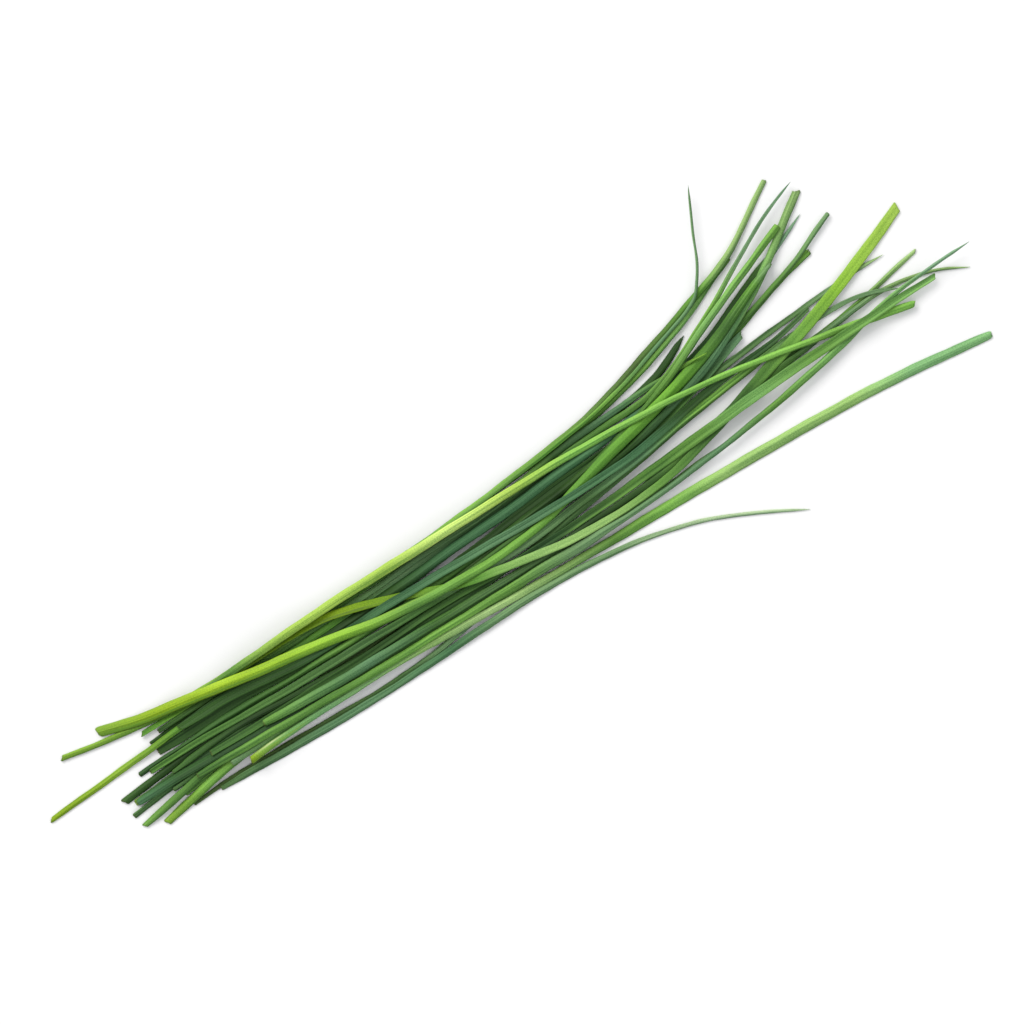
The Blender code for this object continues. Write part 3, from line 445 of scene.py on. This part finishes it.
def leafFinish(name, look, number, span):
    finish = Finish(name)
    start, end = span
    stops = [(min(max((place - start) / (end - start), 0.0), 1.0), linear(greens[green]))
             for place, green in look["tones"]]
    along, across, length, wide = (finish.fact(key) for key in ("along", "across", "length", "wide"))
    patches = finish.grain(wide * 0.35, length * 0.07, number * 3.7)
    bands = finish.grain(wide * 1.3, length * 0.010, number * 1.3 + 5.0)
    veins = finish.grain(wide * 3.4, length * 0.03, number * 2.1 + 9.0)
    grain = finish.grain(wide * 3.2, length * 2.4, number + 2.0, 2.0)
    base = finish.node("ShaderNodeValToRGB", {"stops": stops}, {0: (along + (patches - 0.5) * 0.04).held()})
    crest = wide - 0.25 * math.sin(2.1 * number)
    slope = (crest * crest + 0.008) ** 0.5
    side = crest * (slope ** -1.0)
    plain = look.get("plain", 1.0)
    # Besides the noise, the across term paints light on the upper side, and the side term paints light on one flank
    # of the keel and shade on the other.
    share = ((bands - 0.5) * (skin["bands"] * plain) + (veins - 0.5) * (skin["veins"] * plain)
             + (grain - 0.5) * skin["grain"] + (patches - 0.5) * skin["patches"] + across * (0.4 * look["lit"])
             + side * (skin["sides"] * look["ridge"] / 0.24) + 0.5).held()
    # The darker end stands for dark streaks and painted shade, the paler end for pale streaks and painted light.
    darkStreakAndShade = finish.mixed(1.0, base, (0.42, 0.52, 0.46, 1.0), "MULTIPLY")
    paleStreakAndLight = finish.mixed(1.0, base, (1.62, 1.50, 1.45, 1.0), "MULTIPLY")
    colour = finish.mixed(share, darkStreakAndShade, paleStreakAndLight)
    for first, last, where, width, green, strength in look.get("stripes", ()):
        run = (end - start) / skin["fade"]
        window = (((along - (first - start) / (end - start)) * run).held()
                  * (((last - start) / (end - start) - along) * run).held())
        line = (1.0 - (across + (bands - 0.5) * 0.4 - where).size() * (1.0 / width)).held()
        colour = finish.mixed(window * line * strength, colour, (*linear(greens[green]), 1.0))
    # Painted shade along the lower edge, the side away from the light, and a painted highlight along the upper edge.
    lowerEdgeShade = ((0.0 - across - 0.72) * 5.0).held() * skin["edgeLight"]
    upperEdgeHighlight = ((across - 0.84) * 6.0).held() * (skin["edgeLight"] * look["lit"])
    colour = finish.mixed(lowerEdgeShade, colour, (*linear(greens["bottle"]), 1.0))
    colour = finish.mixed(upperEdgeHighlight, colour, paleStreakAndLight)
    for key, brown in zip(("fromBase", "fromTip"), look.get("rims", (0.4, 0.25))):
        cut = (1.0 - finish.fact(key) * (1.0 / skin["cut"]) + (grain - 0.5)).held()
        colour = finish.mixed(cut * brown, colour, (*linear(greens["bark"]), 1.0))
    finish.feed("Base Color", colour)
    finish.feed("Roughness", (grain - 0.5) * 0.25 + (bands - 0.5) * 0.15 + skin["roughness"])
    height = (slope * -look["ridge"] + wide * wide * -skin["rounding"] + veins * skin["veinDepth"]
              + grain * skin["grainDepth"])
    finish.feed("Normal", finish.node("ShaderNodeBump", {}, {"Height": height, "Strength": 1.0, "Distance": 0.001}))
    finish.shader.inputs["Specular IOR Level"].default_value = skin["specular"]
    return finish.material


for number, (name, look) in enumerate(leaves.items()):
    points, u, travelled, total, along = leafSurface(name, look, number)
    half = (points[..., 1].max(axis=1) - points[..., 1].min(axis=1))[:, None] / 2
    facts = {"along": ((along - along[0]) / (along[-1] - along[0]))[:, None], "across": u, "wide": u * half,
             "length": travelled[:, None], "fromBase": travelled[:, None], "fromTip": (total - travelled)[:, None]}
    piece = closedMesh(name + "_blade", points, facts)
    piece.data.materials.append(leafFinish(name + "_skin", look, number, (along[0], along[-1])))
    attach(piece, "root")
    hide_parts(name)

# White table top, larger than any view
table = {"reach": 6.0, "below": 0.00004, "white": 0.815}
floorMesh = bpy.data.meshes.new("table_top")
r, low = table["reach"], -table["below"]
floorMesh.from_pydata([(-r, -r, low), (r, -r, low), (r, r, low), (-r, r, low)], [], [(0, 1, 2, 3)])
floor = bpy.data.objects.new("table_top", floorMesh)
bpy.context.collection.objects.link(floor)
floorFinish = Finish("white_table")
floorFinish.shader.inputs["Base Color"].default_value = (table["white"], table["white"], table["white"], 1.0)
floorFinish.shader.inputs["Roughness"].default_value = 0.9
floorFinish.shader.inputs["Specular IOR Level"].default_value = 0.1
floorMesh.materials.append(floorFinish.material)

# Soft light from the picture's upper left, and white all round
studio = {"strength": 1.8, "softness": 36.0, "height": 46.0, "fromLeft": 38.0, "sky": 0.92}
spin = math.radians(-picture["turn"])
right, up = np.array([math.cos(spin), math.sin(spin), 0]), np.array([-math.sin(spin), math.cos(spin), 0])
tall, side = math.radians(studio["height"]), math.radians(studio["fromLeft"])
towards = math.cos(tall) * (math.cos(side) * up - math.sin(side) * right) + math.sin(tall) * np.array([0, 0, 1.0])
lamp = bpy.data.lights.new("soft_light", "SUN")
lamp.energy, lamp.angle, lamp.color = studio["strength"], math.radians(studio["softness"]), (1.0, 0.985, 0.95)
lampObject = bpy.data.objects.new("soft_light", lamp)
lampObject.location = towards
bpy.context.collection.objects.link(lampObject)
lampObject.rotation_mode = "QUATERNION"
lampObject.rotation_quaternion = lampObject.location.to_track_quat("Z", "Y")
world = bpy.data.worlds.new("studio")
bpy.context.scene.world = world
world.use_nodes = True
world.node_tree.nodes["Background"].inputs["Color"].default_value = (0.975, 0.975, 1.0, 1.0)
world.node_tree.nodes["Background"].inputs["Strength"].default_value = studio["sky"]
print("table and light placed")

# Camera straight above, turned so that the bunch runs from lower left to upper right
lens = bpy.data.cameras.new("overhead")
lens.lens, lens.sensor_width, lens.clip_end = picture["lens"], picture["sensor"], 50.0
camera = bpy.data.objects.new("overhead", lens)
away = picture["width"] / picture["sensor"] * picture["lens"] / 1000.0
camera.location = (picture["middle"][0] / 1000.0, picture["middle"][1] / 1000.0, away)
camera.rotation_euler = (0.0, 0.0, spin)
bpy.context.collection.objects.link(camera)
bpy.context.scene.camera = camera
bpy.context.scene.view_settings.view_transform = "Standard"
print("camera placed")
